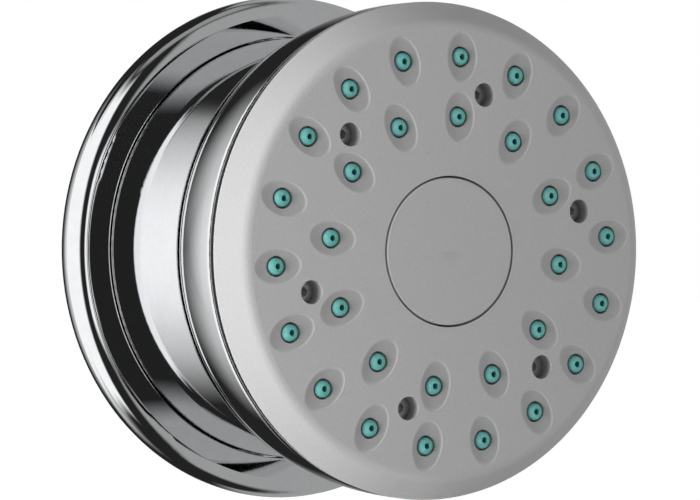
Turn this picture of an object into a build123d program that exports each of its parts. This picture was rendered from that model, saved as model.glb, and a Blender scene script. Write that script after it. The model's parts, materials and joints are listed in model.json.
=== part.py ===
import os
from math import acos, asin, cos, degrees, radians, sin, sqrt

from build123d import *

os.makedirs("parts", exist_ok=True)

# A wall-mounted shower body jet, in millimetres.
# The wall is the plane y = 0, the jet points along -Y and Z is up.
# Profiles are drawn as (radius, distance from the wall) and turned about Y.
profile_plane = Plane(origin=(0, 0, 0), x_dir=(1, 0, 0), z_dir=(0, 0, -1))
jet_plane = Plane(origin=(0, 0, 0), x_dir=(1, 0, 0), z_dir=(0, -1, 0))

# Clearances
seat_gap = 0.03
running_gap = 0.05
bore_gap = 0.1

# Spray face
projection = 54.4
head_radius = 40.0
dome_radius = 306.0
face_wall = 2.2
face_edge_depth = 6.9
face_rim = 0.4
face_edge_round = 0.3
bevel_width = 3.35
shoulder_round = 2.0
skirt_wall = 2.8
skirt_depth = 2.1
ceiling_inset = 1.05
face_edge_distance = projection - face_edge_depth
face_back_distance = face_edge_distance - face_rim
shoulder_radius = head_radius - bevel_width
ceiling_radius = shoulder_radius - ceiling_inset
skirt_radius = head_radius - skirt_wall

# Stop button in its well
button_radius = 11.8
button_gap = 0.3
button_thickness = 2.4
button_skirt = 0.6
button_skirt_wall = 1.35
button_edge_round = 0.3
button_travel = 2.4
well_wall = 1.5
well_radius = button_radius + button_gap
tube_radius = well_radius + well_wall
button_underside = projection - button_thickness

# Nozzles, their dimples and the screw pockets
pattern_angle = 3.93
outer_ring_inset = 8.75
outer_ring_count = 18
ring_pitch = 9.62
inner_ring_count = 12
inner_ring_angle = pattern_angle + 20.0
nozzle_length = 3.9
nozzle_tip_radius = 1.36
nozzle_root_radius = 1.5
nozzle_tip_round = 0.9
nozzle_bore_radius = 0.5
nozzle_bore_length = 1.3
nozzle_feed_radius = 0.9
nozzle_feed_taper = 0.6
nozzle_gap = 0.2
dimple_half_length = 4.25
dimple_half_width = 2.85
dimple_depth = 0.75
pocket_step = 4.37
pocket_count = 6
pocket_angle = pattern_angle + 10.0
pocket_radius = 1.9
pocket_depth = 2.7
outer_ring_radius = head_radius - outer_ring_inset
inner_ring_radius = outer_ring_radius - ring_pitch
pocket_ring_radius = inner_ring_radius + pocket_step
nozzle_hole_radius = nozzle_root_radius + nozzle_gap

# Nozzle mat
mat_thickness = 1.4
mat_inset = 0.5
mat_clamp = 0.9
mat_collar_wall = 1.2
mat_radius = ceiling_radius - mat_inset
mat_depth = face_wall + running_gap
mat_back_depth = mat_depth + mat_thickness
mat_collar_radius = tube_radius + bore_gap
mat_collar_outer = mat_collar_radius + mat_collar_wall

# Face screws and the bosses that take them
screw_radius = 1.2
screw_head_radius = pocket_radius - 1.5 * bore_gap
screw_head_height = 1.5
screw_socket = 0.85
screw_socket_depth = 0.9
boss_radius = 3.0
boss_floor = 1.49
boss_land = 1.2

# Neck and wall ring
neck_step = 5.7
neck_wall = 1.8
neck_back = 0.6
neck_depth = 9.5
neck_edge_round = 0.4
ring_bore_gap = 0.15
ring_roll = 2.9
ring_side = 3.0
ring_curve = 6.2
ring_roll_angle = 93.0
ring_wall = 1.6
ring_edge_round = 0.3
grip_section = 0.75
collar_back = 0.9
collar_floor = 0.828
collar_groove_middle = 2.1
hollow_width = 1.37
gasket_gap = 0.2
gasket_thickness = 1.2
neck_radius = head_radius - neck_step
neck_bore = neck_radius - neck_wall
ring_bore = neck_radius + ring_bore_gap

# Head shell
shadow_gap = 1.3
shell_curve = 47.3
shell_lean = 1.0
shell_turn = 18.0
shell_roll = 3.0
shell_step = 0.14
shell_wall = 1.8
shell_edge_round = 0.45
opening_gap = 1.3
shell_front = face_back_distance - shadow_gap
shell_opening = neck_radius + opening_gap
neck_front = shell_front - neck_depth

# Ball joint
ball_depth = 26.2
ball_radius = 8.2
liner = 1.0
slip_back_angle = -21.5
slip_front_angle = -4.0
water_bore = 3.3
socket_wall = 2.8
socket_joint_step = 0.7
socket_flange_width = 3.1
socket_flange = 2.4
socket_spigot_radius = 9.0
socket_spigot = 3.6
seat_wall = 2.5
seat_passage = 4.0
seat_crown = 5.0
seat_bevel = 0.6
seal_thickness = 1.95
seal_back_angle = 30.0
seal_front_angle = 45.0
seal_play = 0.4
nut_reach = 6.7
nut_engagement = 4.0
nut_wall = 1.85
nut_lip_reach = 5.0
nut_lip_overlap = 0.04
nut_flare = 1.9
socket_gasket_space = 1.3
ball_distance = projection - ball_depth
socket_sphere = ball_radius + liner + 2 * running_gap
socket_radius = socket_sphere + socket_wall
socket_joint = ball_distance - socket_joint_step
seat_distance = ball_distance + socket_sphere + seat_wall
flange_front = seat_distance - socket_spigot
flange_back = flange_front - socket_flange
socket_flange_radius = socket_radius + socket_flange_width
chamber_floor = flange_front + socket_gasket_space

# Valve guide and chamber plate
guide_depth = 7.9
guide_wall = 1.4
guide_overlap = 0.15
guide_rim_wall = 2.25
guide_rim_clear = 0.7
guide_ring_section = 0.55
stem_radius = 3.0
tower_wall = 1.6
tower_clear = 0.6
post_inset = 2.2
post_radius = 1.4
plate_wall = 1.5
plate_drop = 1.2
plate_floor = 0.5
plate_spigot_depth = 3.0
plate_spigot_wall = 1.6
plate_rim_inset = 0.8
sump_land = 0.6
sump_wall = 1.2
guide_front = projection - guide_depth
guide_back = guide_front - guide_wall
guide_radius = mat_collar_outer + guide_overlap
plate_back = shell_front - plate_drop
plate_front = plate_back + plate_wall
plate_spigot_back = shell_front - plate_spigot_depth
plate_rim_radius = head_radius - plate_rim_inset

# Valve, latch and return spring
stem_neck = 2.0
stem_neck_length = 1.1
stem_ring_section = 0.55
stem_ring_land = 0.7
holder_margin = 0.5
holder_thickness = 0.8
washer_thickness = 1.6
washer_screw_radius = 1.0
washer_screw_head = 2.0
washer_screw_head_height = 0.9
washer_screw_depth = 2.6
cam_clear = 0.4
cam_wall = 1.25
cam_half_width = 1.6
slot_length = 1.1
slot_clear = 0.4
latch_offset = 0.85
latch_root = 0.85
latch_wire = 0.3
latch_clear = 0.3
latch_catch = 0.45
latch_bend = 0.7
spring_inset = 1.2
spring_wire = 0.3
spring_turns = 3.5

# Inlet
cut_over = 1.0
thread_radius = 10.48
thread_end = -11.0
thread_start = 0.3
thread_chamfer = 0.8
relief_radius = 9.2
hexagon_half = 13.5
hexagon_back = 1.8
hexagon_front = 6.0
spigot_radius = 10.0
spigot_front = 13.0
spigot_chamfer = 0.6
spigot_wall = 3.45
inlet_seal_section = 0.7
inlet_bore = 5.0
strainer_bore = 7.5
strainer_floor = -3.5
strainer_rim = 2.0
strainer_rim_wall = 1.25
strainer_disc = 0.6
strainer_hole = 0.75
strainer_inner_ring = 2.3
strainer_outer_ring = 4.6
regulator_hub = 1.6
regulator_recess = 1.6
regulator_rim_wall = 1.85
regulator_passage = 0.9
regulator_ring = 3.6
stud_floor = 4.2
stud_seal_space = 1.05
stud_seal_width = 2.7
stud_taper = 1.0
stud_hexagon_wall = 1.5
stud_hexagon = 2.0
stem_waist = 5.0
carrier_thickness = 3.0
carrier_window = 3.9
carrier_window_ring = 21.0
sleeve_ring_section = 0.82
lock_nut_wall = 3.95
lock_nut_height = 3.4
stud_radius = spigot_radius - spigot_wall - running_gap


def dome(radius: float, depth: float = 0.0) -> float:
    """Distance from the wall of the domed face, or of a dome lying deeper inside it."""
    return projection - dome_radius + sqrt((dome_radius - depth) ** 2 - radius**2)


def dome_angle(radius: float, depth: float = 0.0) -> float:
    """Angle of a point of the dome as seen from the middle of its sphere."""
    return degrees(acos(radius / (dome_radius - depth)))


def front_plane(distance: float) -> Plane:
    """Plane across the jet axis at a distance from the wall, facing outwards."""
    return jet_plane.offset(distance)


def shell_bore(distance: float) -> float:
    """Inside radius of the head shell's curved side at a distance from the wall."""
    back_step = curve_centre[1] - distance
    return curve_centre[0] + sqrt((shell_curve - shell_wall) ** 2 - back_step**2)


def dimple_plane(radius: float) -> Plane:
    """Plane along the dimple at a ring radius, with its origin on the axis that the dimple is turned about."""
    lean = radians(90 - dome_angle(radius))
    outward = Vector(sin(lean), 0, cos(lean))
    along = Vector(cos(lean), 0, -sin(lean))
    middle = Vector(radius, 0, dome(radius)) + outward * (dimple_cross - dimple_depth)
    return Plane(origin=middle, x_dir=along, z_dir=along.cross(outward))


dimple_turn = (dimple_half_length**2 + dimple_depth**2) / (2 * dimple_depth)
dimple_cross = (dimple_half_width**2 + dimple_depth**2) / (2 * dimple_depth)
dimple_reach = sqrt(dimple_turn**2 - (dimple_turn - dimple_cross) ** 2)
dome_centre = (0, projection - dome_radius)
ball_centre = (0, ball_distance)
shell_mouth = head_radius - shell_step
lean = radians(shell_lean)
curve_centre = (shell_mouth - shell_curve * cos(lean), shell_front + shell_curve * sin(lean))

# The face and the mat are turned from a profile that lies between two rows of dimples
seam_angle = radians(pattern_angle + 30.0)
face_profile_plane = Plane(
    origin=(0, 0, 0),
    x_dir=(cos(seam_angle), 0, sin(seam_angle)),
    z_dir=(sin(seam_angle), 0, -cos(seam_angle)),
)

# Inlet nipple: half-inch thread into the wall, hexagon, and a spigot for the carrier
with BuildPart() as inlet_nipple:
    with BuildSketch(profile_plane):
        with BuildLine():
            Polyline(
                (0, thread_end),
                (thread_radius - thread_chamfer, thread_end),
                (thread_radius, thread_end + thread_chamfer),
                (thread_radius, thread_start),
                (relief_radius, thread_start),
                (relief_radius, hexagon_back),
                (spigot_radius, hexagon_back),
                (spigot_radius, spigot_front - spigot_chamfer),
                (spigot_radius - spigot_chamfer, spigot_front),
                (0, spigot_front),
                close=True,
            )
        make_face()
    revolve(axis=Axis.Y)
    with BuildSketch(front_plane(hexagon_back)):
        RegularPolygon(hexagon_half, 6, major_radius=False)
    extrude(amount=hexagon_front - hexagon_back)
    with BuildSketch(profile_plane):
        with BuildLine():
            Polyline(
                (0, thread_end - cut_over),
                (strainer_bore, thread_end - cut_over),
                (strainer_bore, strainer_floor),
                (inlet_bore, strainer_floor),
                (inlet_bore, stud_floor),
                (stud_radius + running_gap, stud_floor),
                (stud_radius + running_gap, spigot_front + cut_over),
                (0, spigot_front + cut_over),
                close=True,
            )
        make_face()
    revolve(axis=Axis.Y, mode=Mode.SUBTRACT)
inlet_nipple.part.label = "inlet_nipple"
export_step(inlet_nipple.part, "parts/inlet_nipple.step")

# Inlet seal: ring in the relief behind the hexagon
with BuildPart() as inlet_seal:
    with BuildSketch(profile_plane):
        with Locations((relief_radius + seat_gap + inlet_seal_section, (thread_start + hexagon_back) / 2)):
            Circle(inlet_seal_section)
    revolve(axis=Axis.Y)
inlet_seal.part.label = "inlet_seal"
export_step(inlet_seal.part, "parts/inlet_seal.step")

# Inlet strainer: rim and perforated disc at the mouth of the nipple
strainer_front = thread_end + strainer_rim
strainer_radius = strainer_bore - running_gap
with BuildPart() as inlet_strainer:
    with BuildSketch(front_plane(thread_end)):
        Circle(strainer_radius)
        Circle(strainer_radius - strainer_rim_wall, mode=Mode.SUBTRACT)
    extrude(amount=strainer_rim)
    with BuildSketch(front_plane(strainer_front)):
        Circle(strainer_radius - strainer_rim_wall / 2)
        Circle(strainer_hole, mode=Mode.SUBTRACT)
        with PolarLocations(strainer_inner_ring, 6):
            Circle(strainer_hole, mode=Mode.SUBTRACT)
        with PolarLocations(strainer_outer_ring, 12):
            Circle(strainer_hole, mode=Mode.SUBTRACT)
    extrude(amount=-strainer_disc)
inlet_strainer.part.label = "inlet_strainer"
export_step(inlet_strainer.part, "parts/inlet_strainer.step")

# Flow regulator: insert with a ring of passages, between the strainer and the bore
with BuildPart() as flow_regulator:
    with BuildSketch(front_plane(strainer_front + seat_gap)):
        Circle(strainer_radius)
        with PolarLocations(regulator_ring, 8):
            Circle(regulator_passage, mode=Mode.SUBTRACT)
    extrude(amount=strainer_floor - strainer_front - 2 * seat_gap)
    with BuildSketch(front_plane(strainer_front + seat_gap)):
        Circle(strainer_radius - regulator_rim_wall)
        Circle(regulator_hub, mode=Mode.SUBTRACT)
    extrude(amount=regulator_recess, mode=Mode.SUBTRACT)
flow_regulator.part.label = "flow_regulator"
export_step(flow_regulator.part, "parts/flow_regulator.step")

# Stud seal: flat ring under the ball stud
stud_back = stud_floor + stud_seal_space
with BuildPart() as stud_seal:
    with BuildSketch(front_plane(stud_floor + seat_gap)):
        Circle(stud_radius - bore_gap)
        Circle(stud_radius - bore_gap - stud_seal_width, mode=Mode.SUBTRACT)
    extrude(amount=stud_back - stud_floor - 2 * seat_gap)
stud_seal.part.label = "stud_seal"
export_step(stud_seal.part, "parts/stud_seal.step")

# Ball stud: threaded end, hexagon, stem and ball, bored through for the water
with BuildPart() as ball_stud:
    with BuildSketch(profile_plane):
        with BuildLine():
            Polyline(
                (0, stud_back),
                (stud_radius, stud_back),
                (stud_radius, spigot_front + stud_hexagon - stud_taper),
                (stem_waist, spigot_front + stud_hexagon),
                (stem_waist, ball_distance),
                (0, ball_distance),
                close=True,
            )
        make_face()
    revolve(axis=Axis.Y)
    with BuildSketch(front_plane(spigot_front + seat_gap)):
        RegularPolygon(stud_radius + stud_hexagon_wall, 6, major_radius=False)
    extrude(amount=stud_hexagon)
    with Locations((0, -ball_distance, 0)):
        Sphere(ball_radius)
    with BuildSketch(front_plane(0)):
        Circle(water_bore)
    extrude(amount=ball_distance + 2 * ball_radius, mode=Mode.SUBTRACT)
ball_stud.part.label = "ball_stud"
export_step(ball_stud.part, "parts/ball_stud.step")

# Sleeve carrier: spider on the nipple that centres the neck
carrier_back = hexagon_front + seat_gap
carrier_front = carrier_back + carrier_thickness
carrier_groove_middle = (carrier_back + carrier_front) / 2
carrier_radius = neck_bore - bore_gap
carrier_groove_depth = 2 * sleeve_ring_section + 2 * seat_gap - bore_gap
with BuildPart() as sleeve_carrier:
    with BuildSketch(front_plane(carrier_back)):
        Circle(carrier_radius)
        Circle(spigot_radius + running_gap, mode=Mode.SUBTRACT)
        with PolarLocations(carrier_window_ring, 6):
            Circle(carrier_window, mode=Mode.SUBTRACT)
    extrude(amount=carrier_front - carrier_back)
    with BuildSketch(profile_plane):
        with Locations((carrier_radius, carrier_groove_middle)):
            Rectangle(2 * carrier_groove_depth, 2 * (sleeve_ring_section + bore_gap))
    revolve(axis=Axis.Y, mode=Mode.SUBTRACT)
sleeve_carrier.part.label = "sleeve_carrier"
export_step(sleeve_carrier.part, "parts/sleeve_carrier.step")

# Lock nut: holds the carrier against the hexagon
with BuildPart() as lock_nut:
    with BuildSketch(front_plane(carrier_front + seat_gap)):
        RegularPolygon(spigot_radius + running_gap + lock_nut_wall, 6, major_radius=False)
        Circle(spigot_radius + running_gap, mode=Mode.SUBTRACT)
    extrude(amount=lock_nut_height)
lock_nut.part.label = "lock_nut"
export_step(lock_nut.part, "parts/lock_nut.step")

# Sleeve ring: seal in the carrier's groove that grips the neck from inside
sleeve_ring_radius = neck_bore - seat_gap - sleeve_ring_section
with BuildPart() as sleeve_ring:
    with BuildSketch(profile_plane):
        with Locations((sleeve_ring_radius, carrier_groove_middle)):
            Circle(sleeve_ring_section)
    revolve(axis=Axis.Y)
sleeve_ring.part.label = "sleeve_ring"
export_step(sleeve_ring.part, "parts/sleeve_ring.step")

# Neck sleeve: plain chromed tube from the wall into the back of the head
with BuildPart() as neck_sleeve:
    with BuildSketch(front_plane(neck_back)):
        Circle(neck_radius)
        Circle(neck_bore, mode=Mode.SUBTRACT)
    extrude(amount=neck_front - neck_back)
    fillet(neck_sleeve.edges().group_by(Axis.Y)[0], radius=neck_edge_round)
neck_sleeve.part.label = "neck_sleeve"
export_step(neck_sleeve.part, "parts/neck_sleeve.step")

# Escutcheon: hollow wall ring with a rolled rim and a collar round the neck
grip_groove_depth = 2 * (grip_section + running_gap) - ring_bore_gap
grip_groove_width = 2 * grip_section + bore_gap
ring_collar_radius = ring_bore + grip_groove_depth + collar_floor
hollow_roll = ring_roll - ring_wall
roll_end = radians(ring_roll_angle)
roll_centre = (ring_collar_radius + hollow_width, ring_side)
ring_radius = roll_centre[0] + ring_roll
roll_end_radius = roll_centre[0] + ring_roll * cos(roll_end)
roll_end_distance = roll_centre[1] + ring_roll * sin(roll_end)
ring_slope = (roll_centre[0] - roll_end_radius) / (roll_end_distance - roll_centre[1])
ring_seam = roll_end_distance - (roll_end_radius - ring_bore) * ring_slope
side_start = -degrees(asin(ring_side / ring_curve))
side_centre = (ring_radius - ring_curve, ring_side)
ring_foot = side_centre[0] + ring_curve * cos(radians(side_start))
hollow_radius = roll_centre[0] + hollow_roll
hollow_top = ring_side + hollow_roll
with BuildPart() as escutcheon:
    with BuildSketch(profile_plane) as ring_profile:
        with BuildLine():
            Line((hollow_radius, 0), (ring_foot, 0))
            CenterArc(side_centre, ring_curve, side_start, -side_start)
            CenterArc(roll_centre, ring_roll, 0, ring_roll_angle)
            Polyline(
                (roll_end_radius, roll_end_distance),
                (ring_bore, ring_seam),
                (ring_bore, collar_back),
                (ring_collar_radius, collar_back),
                (ring_collar_radius, hollow_top),
                (roll_centre[0], hollow_top),
            )
            CenterArc(roll_centre, hollow_roll, 90, -90)
            Line((hollow_radius, ring_side), (hollow_radius, 0))
        make_face()
        bore_corners = ring_profile.vertices().group_by(Axis.X)[0]
        fillet(bore_corners.sort_by(Axis.Y)[-1], radius=ring_edge_round)
        with Locations((ring_bore, collar_groove_middle)):
            Rectangle(2 * grip_groove_depth, grip_groove_width, mode=Mode.SUBTRACT)
    revolve(axis=Axis.Y)
escutcheon.part.label = "escutcheon"
export_step(escutcheon.part, "parts/escutcheon.step")

# Escutcheon grip: ring seal in the collar that holds the wall ring on the neck
with BuildPart() as escutcheon_grip:
    with BuildSketch(profile_plane):
        with Locations((neck_radius + running_gap + grip_section, collar_groove_middle)):
            Circle(grip_section)
    revolve(axis=Axis.Y)
escutcheon_grip.part.label = "escutcheon_grip"
export_step(escutcheon_grip.part, "parts/escutcheon_grip.step")

# Wall gasket: soft ring in the hollow of the wall ring, flush with the wall
with BuildPart() as wall_gasket:
    with BuildSketch(front_plane(0)):
        Circle(hollow_radius - gasket_gap)
        Circle(ring_collar_radius + gasket_gap, mode=Mode.SUBTRACT)
    extrude(amount=gasket_thickness)
wall_gasket.part.label = "wall_gasket"
export_step(wall_gasket.part, "parts/wall_gasket.step")

# Slip ring: low-friction liner between the ball and the socket nut
slip_arc = slip_front_angle - slip_back_angle
slip_inner = ball_radius + running_gap
slip_outer = slip_inner + liner
with BuildPart() as slip_ring:
    with BuildSketch(profile_plane):
        with BuildLine():
            inner_arc = CenterArc(ball_centre, slip_inner, slip_back_angle, slip_arc)
            outer_arc = CenterArc(ball_centre, slip_outer, slip_back_angle, slip_arc)
            Line(inner_arc @ 0, outer_arc @ 0)
            Line(inner_arc @ 1, outer_arc @ 1)
        make_face()
    revolve(axis=Axis.Y)
slip_ring.part.label = "slip_ring"
export_step(slip_ring.part, "parts/slip_ring.step")

# Ball seal: lip ring that sits in the socket and runs on the front of the ball
seal_arc = seal_front_angle - seal_back_angle
seal_outer = slip_inner + seal_thickness
with BuildPart() as ball_seal:
    with BuildSketch(profile_plane):
        with BuildLine():
            lip_arc = CenterArc(ball_centre, slip_inner, seal_back_angle, seal_arc)
            back_arc = CenterArc(ball_centre, seal_outer, seal_back_angle, seal_arc)
            Line(lip_arc @ 0, back_arc @ 0)
            Line(lip_arc @ 1, back_arc @ 1)
        make_face()
    revolve(axis=Axis.Y)
ball_seal.part.label = "ball_seal"
export_step(ball_seal.part, "parts/ball_seal.step")

# Socket nut: holds the ball in the socket from behind
nut_back = ball_distance - nut_reach
nut_front = socket_joint + nut_engagement
nut_bore = socket_radius + running_gap
nut_mouth = sqrt(socket_sphere**2 - nut_lip_reach**2) - nut_lip_overlap
nut_lip_distance = ball_distance - nut_lip_reach
with BuildPart() as socket_nut:
    with BuildSketch(front_plane(nut_back)):
        RegularPolygon(nut_bore + nut_wall, 6, major_radius=False)
    extrude(amount=nut_front - nut_back)
    with BuildSketch(front_plane(socket_joint)):
        Circle(nut_bore)
    extrude(amount=nut_front - socket_joint, mode=Mode.SUBTRACT)
    with Locations((0, -ball_distance, 0)):
        Sphere(socket_sphere, mode=Mode.SUBTRACT)
    with BuildSketch(profile_plane):
        with BuildLine():
            Polyline(
                (0, nut_back - cut_over),
                (nut_mouth + nut_flare, nut_back - cut_over),
                (nut_mouth + nut_flare, nut_back),
                (nut_mouth, nut_lip_distance),
                (nut_mouth, nut_lip_distance + cut_over),
                (0, nut_lip_distance + cut_over),
                close=True,
            )
        make_face()
    revolve(axis=Axis.Y, mode=Mode.SUBTRACT)
socket_nut.part.label = "socket_nut"
export_step(socket_nut.part, "parts/socket_nut.step")

# Ball socket: front cup of the joint, with a flange, a spigot and the valve seat
groove_angle = seal_back_angle - seal_play
groove_arc = seal_arc + 2 * seal_play
with BuildPart() as ball_socket:
    with BuildSketch(profile_plane):
        with BuildLine():
            Polyline(
                (0, socket_joint + seat_gap),
                (socket_radius, socket_joint + seat_gap),
                (socket_radius, flange_back),
                (socket_flange_radius, flange_back),
                (socket_flange_radius, flange_front),
                (socket_spigot_radius, flange_front),
                (socket_spigot_radius, seat_distance - seat_bevel),
                (seat_crown + seat_bevel, seat_distance - seat_bevel),
                (seat_crown, seat_distance),
                (0, seat_distance),
                close=True,
            )
        make_face()
    revolve(axis=Axis.Y)
    with Locations((0, -ball_distance, 0)):
        Sphere(socket_sphere, mode=Mode.SUBTRACT)
    with BuildSketch(front_plane(ball_distance)):
        Circle(seat_passage)
    extrude(amount=seat_distance - ball_distance, mode=Mode.SUBTRACT)
    with BuildSketch(profile_plane):
        with BuildLine():
            near_arc = CenterArc(ball_centre, socket_sphere - 2 * bore_gap, groove_angle, groove_arc)
            far_arc = CenterArc(ball_centre, seal_outer + running_gap, groove_angle, groove_arc)
            Line(near_arc @ 0, far_arc @ 0)
            Line(near_arc @ 1, far_arc @ 1)
        make_face()
    revolve(axis=Axis.Y, mode=Mode.SUBTRACT)
ball_socket.part.label = "ball_socket"
export_step(ball_socket.part, "parts/ball_socket.step")

# Socket gasket: flat ring between the socket flange and the chamber
with BuildPart() as socket_gasket:
    with BuildSketch(front_plane(flange_front + seat_gap)):
        Circle(socket_flange_radius - 2 * bore_gap)
        Circle(socket_spigot_radius + running_gap, mode=Mode.SUBTRACT)
    extrude(amount=chamber_floor - flange_front - 2 * seat_gap)
socket_gasket.part.label = "socket_gasket"
export_step(socket_gasket.part, "parts/socket_gasket.step")

# Chamber plate: rear wall of the water chamber with posts for the guide and screw bosses
plate_spigot_radius = shell_bore(plate_spigot_back) - bore_gap
plate_spigot_bore = plate_spigot_radius - plate_spigot_wall
sump_radius = guide_radius + sump_land
sump_rim_radius = pocket_ring_radius - boss_radius - boss_land
sump_run = sump_rim_radius - sump_radius
sump_rise = plate_back - chamber_floor
sump_slope = sqrt(sump_run**2 + sump_rise**2)
sump_shift = (sump_run * plate_wall - sump_slope * sump_wall) / sump_rise
ring_top = dome(mat_radius, mat_back_depth) - running_gap
clamp_radius = mat_radius - mat_clamp
screw_head_front = dome(pocket_ring_radius) - pocket_depth
screw_head_back = screw_head_front - screw_head_height
boss_front = screw_head_back - boss_floor
screw_hole_floor = plate_back + plate_floor
screw_tip = screw_hole_floor + bore_gap
with BuildPart() as chamber_plate:
    with BuildSketch(profile_plane):
        with BuildLine():
            Polyline(
                (socket_spigot_radius + running_gap, chamber_floor),
                (sump_radius, chamber_floor),
                (sump_rim_radius, plate_back),
                (plate_spigot_bore, plate_back),
                (plate_spigot_bore, plate_spigot_back),
                (plate_spigot_radius, plate_spigot_back),
                (plate_spigot_radius, shell_front + seat_gap),
                (plate_rim_radius, shell_front + seat_gap),
                (plate_rim_radius, face_back_distance - seat_gap),
                (skirt_radius - running_gap, face_back_distance - seat_gap),
                (skirt_radius - running_gap, ring_top),
                (clamp_radius, ring_top),
                (clamp_radius, plate_front),
                (sump_rim_radius + sump_shift, plate_front),
                (sump_radius + sump_shift, chamber_floor + plate_wall),
                (socket_spigot_radius + running_gap, chamber_floor + plate_wall),
                close=True,
            )
        make_face()
    revolve(axis=Axis.Y)
    with BuildSketch(front_plane(chamber_floor + plate_wall)):
        with PolarLocations(guide_radius - post_inset, 3, start_angle=90):
            Circle(post_radius)
    extrude(amount=guide_back - seat_gap - chamber_floor - plate_wall)
    with BuildSketch(front_plane(plate_front)):
        with PolarLocations(pocket_ring_radius, pocket_count, start_angle=pocket_angle):
            Circle(boss_radius)
    extrude(amount=boss_front - plate_front)
    with BuildSketch(front_plane(boss_front)):
        with PolarLocations(pocket_ring_radius, pocket_count, start_angle=pocket_angle):
            Circle(screw_radius + running_gap)
    extrude(amount=screw_hole_floor - boss_front, mode=Mode.SUBTRACT)
chamber_plate.part.label = "chamber_plate"
export_step(chamber_plate.part, "parts/chamber_plate.step")

# Head shell: chromed bowl round the back of the head, open for the neck
turn = radians(shell_turn)
roll_reach = shell_curve - shell_roll
roll_middle = (curve_centre[0] + roll_reach * cos(turn), curve_centre[1] - roll_reach * sin(turn))
inner_curve = shell_curve - shell_wall
inner_roll = shell_roll - shell_wall
outer_open_angle = degrees(acos((shell_opening - roll_middle[0]) / shell_roll))
inner_open_angle = degrees(acos((shell_opening - roll_middle[0]) / inner_roll))
inner_lean = degrees(asin((curve_centre[1] - shell_front) / inner_curve))
with BuildPart() as head_shell:
    with BuildSketch(profile_plane):
        with BuildLine():
            outer_side = CenterArc(curve_centre, shell_curve, -shell_lean, shell_lean - shell_turn)
            inner_side = CenterArc(curve_centre, inner_curve, -inner_lean, inner_lean - shell_turn)
            outer_roll = CenterArc(roll_middle, shell_roll, -shell_turn, shell_turn - outer_open_angle)
            inner_arc_end = CenterArc(roll_middle, inner_roll, -shell_turn, shell_turn - inner_open_angle)
            Line(outer_side @ 0, inner_side @ 0)
            Line(outer_roll @ 1, inner_arc_end @ 1)
        make_face()
    revolve(axis=Axis.Y)
    shell_rims = head_shell.edges().filter_by(GeomType.CIRCLE)
    front_rim = shell_rims.group_by(Axis.Y)[0].sort_by(SortBy.RADIUS)[-1]
    back_rim = shell_rims.group_by(Axis.Y)[-1]
    fillet([front_rim, *back_rim], radius=shell_edge_round)
head_shell.part.label = "head_shell"
export_step(head_shell.part, "parts/head_shell.step")

# Dimple cutters, drawn at angle 0 with the jet along +Z, one for each nozzle ring
outer_cut_plane = dimple_plane(outer_ring_radius)
with BuildPart() as outer_dimple:
    with BuildSketch(outer_cut_plane):
        with BuildLine():
            ThreePointArc((-dimple_reach, 0), (0, dimple_cross), (dimple_reach, 0))
            Line((-dimple_reach, 0), (dimple_reach, 0))
        make_face()
    revolve(axis=Axis(outer_cut_plane.origin, outer_cut_plane.x_dir))
inner_cut_plane = dimple_plane(inner_ring_radius)
with BuildPart() as inner_dimple:
    with BuildSketch(inner_cut_plane):
        with BuildLine():
            ThreePointArc((-dimple_reach, 0), (0, dimple_cross), (dimple_reach, 0))
            Line((-dimple_reach, 0), (dimple_reach, 0))
        make_face()
    revolve(axis=Axis(inner_cut_plane.origin, inner_cut_plane.x_dir))

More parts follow.
